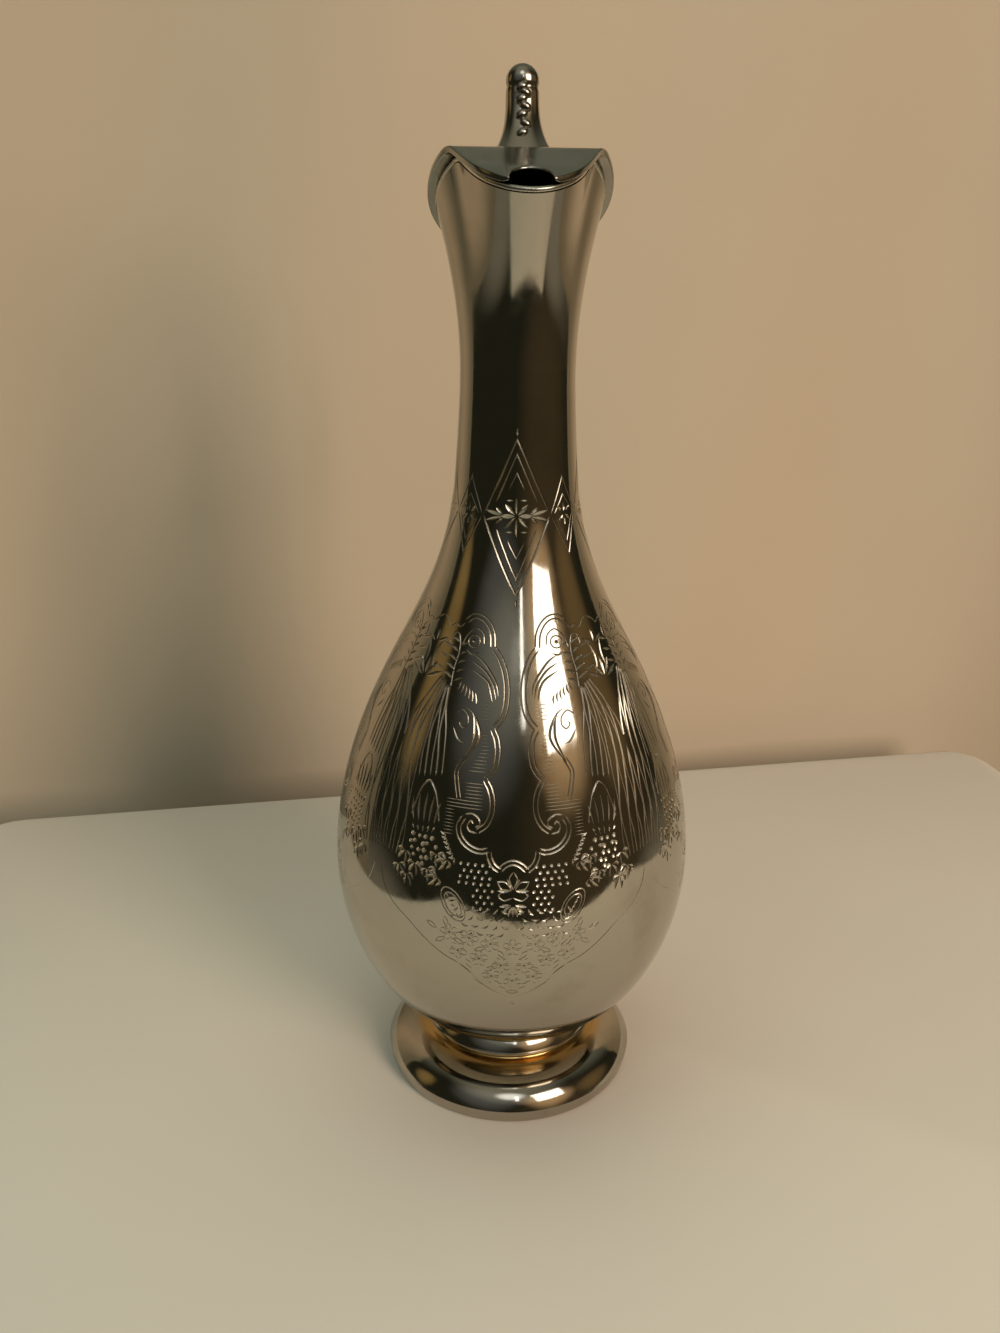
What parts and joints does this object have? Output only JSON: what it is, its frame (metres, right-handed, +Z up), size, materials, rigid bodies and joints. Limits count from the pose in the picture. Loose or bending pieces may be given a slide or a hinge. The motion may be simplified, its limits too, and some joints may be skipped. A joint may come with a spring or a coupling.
{
  "type": "lidded pitcher",
  "caption": "Pear-shaped silver plated pitcher with engraved scrollwork, a spread foot, a spouted mouth, a scroll handle and a hinged lid with a thumbpiece and a pouring notch.",
  "frame": {"origin": "centre of the ring that the foot stands on", "axes": "+Z up along the axis of the body, -Y towards the spout, +Y towards the handle"},
  "size_m": [0.1092, 0.1346, 0.295],
  "materials": {
    "silver_plate": "polished silver plate, slightly toned and scratched",
    "cast_plate": "polished silver plate over castings, darker in the hollows",
    "hinge_pin": "drawn wire with peened ends"
  },
  "bodies": {
    "pitcher": {"foot_rim_wire": "silver_plate", "foot_shell": "silver_plate", "foot_collar": "silver_plate", "lower_bowl": "silver_plate", "upper_body": "silver_plate", "mouth": "silver_plate", "mouth_rim_wire": "silver_plate", "handle_bracket": "cast_plate", "handle_plate": "cast_plate", "handle": "cast_plate", "hinge_body_leaf": "cast_plate", "hinge_pin": "hinge_pin"},
    "lid": {"lid_cover": "silver_plate", "lid_flange": "silver_plate", "thumbpiece": "cast_plate", "hinge_lid_leaf": "cast_plate"}
  },
  "joints": [
    {"name": "lid_hinge", "type": "hinge", "parent": "pitcher", "child": "lid", "pos_m": [0, 0.027, 0.24967], "axis": [-1, 0, 0], "range_deg": [0, 75]}
  ]
}
